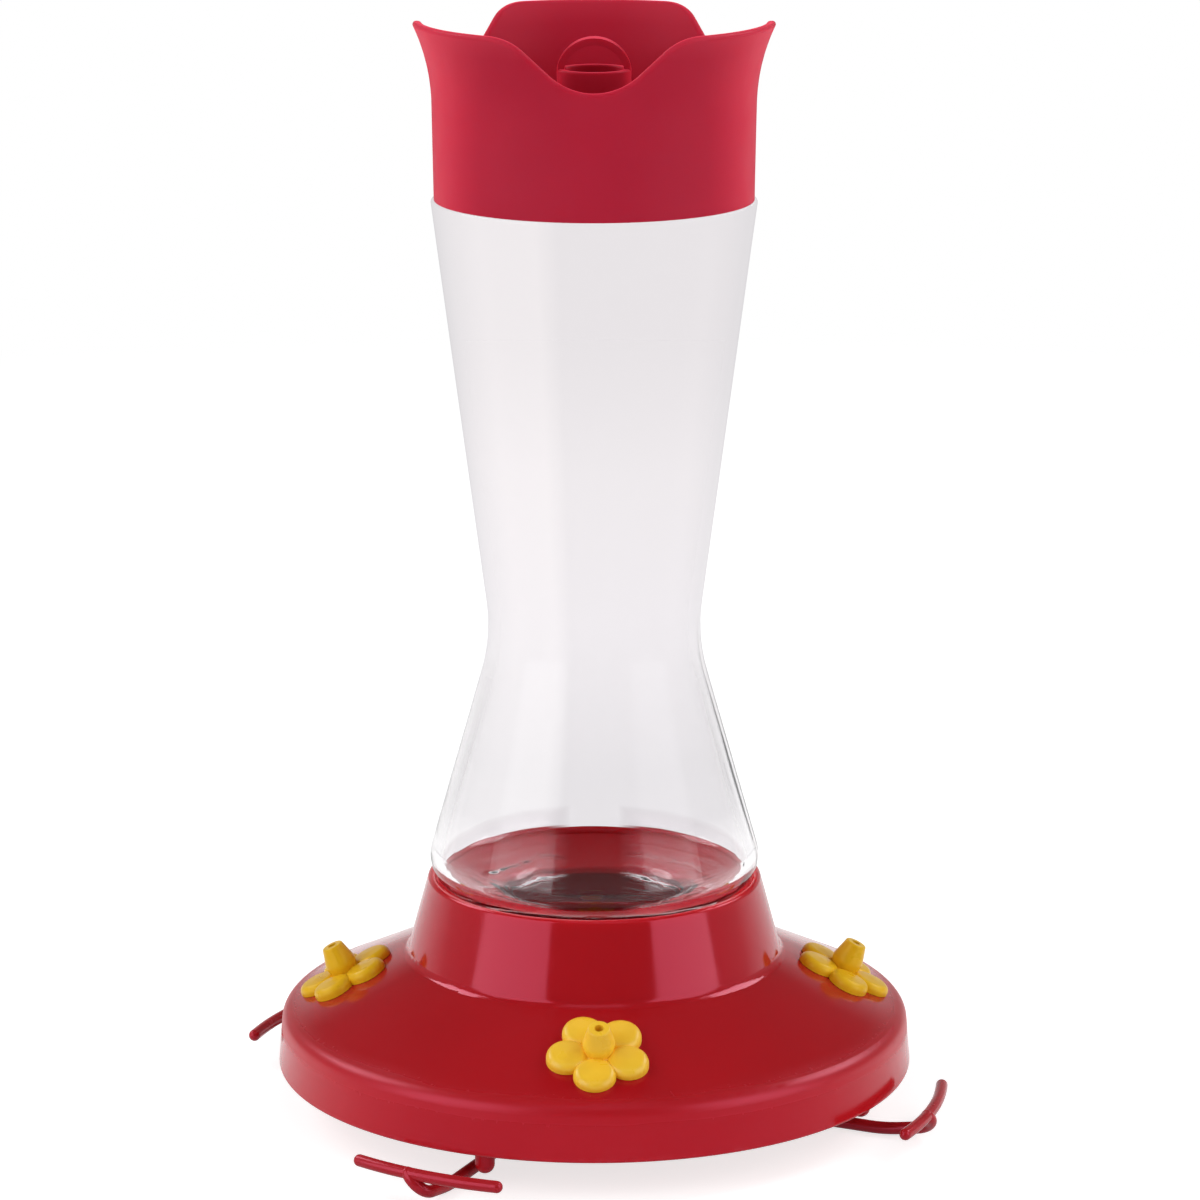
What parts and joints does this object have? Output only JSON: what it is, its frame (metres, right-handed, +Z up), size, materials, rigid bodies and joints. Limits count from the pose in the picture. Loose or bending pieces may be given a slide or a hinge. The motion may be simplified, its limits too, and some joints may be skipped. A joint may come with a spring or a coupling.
{
  "type": "hummingbird feeder",
  "caption": "Hanging nectar feeder: pinch-waisted clear glass bottle upside down in a round red base with yellow flower ports and perches, under a red tulip-rimmed water moat cap with a bail.",
  "frame": {"origin": "centre of the footprint, on the plane that the four perch arms stand on", "axes": "+Z up along the bottle's axis, -Y towards the front flower, +X to the right as seen from the front"},
  "size_m": [0.126, 0.1266, 0.193],
  "materials": {
    "cap_red": "satin",
    "clear_glass": "polished",
    "base_red": "gloss",
    "flower_yellow": "semi-gloss",
    "perch_red": "gloss"
  },
  "bodies": {
    "tray": {"nectar_tray": "base_red", "perch_front": "perch_red", "perch_right": "perch_red", "perch_back": "perch_red", "perch_left": "perch_red"},
    "cover": {"base_cover": "base_red", "flower_front": "flower_yellow", "flower_right": "flower_yellow", "flower_back": "flower_yellow", "flower_left": "flower_yellow"},
    "bottle": {"glass_bottle": "clear_glass", "cap": "cap_red"}
  },
  "joints": [
    {"name": "cover_turn", "type": "hinge", "parent": "tray", "child": "cover", "pos_m": [0, 0, 0.0137], "axis": [0, 0, 1], "range_deg": [0, 720]},
    {"name": "bottle_lift", "type": "slide", "parent": "cover", "child": "bottle", "axis": [0, 0, 1], "range_m": [0, 0.008]}
  ],
  "couplings": [
    {"joint": "bottle_lift", "follows": "cover_turn", "m_per_rad": 0.00063662}
  ]
}
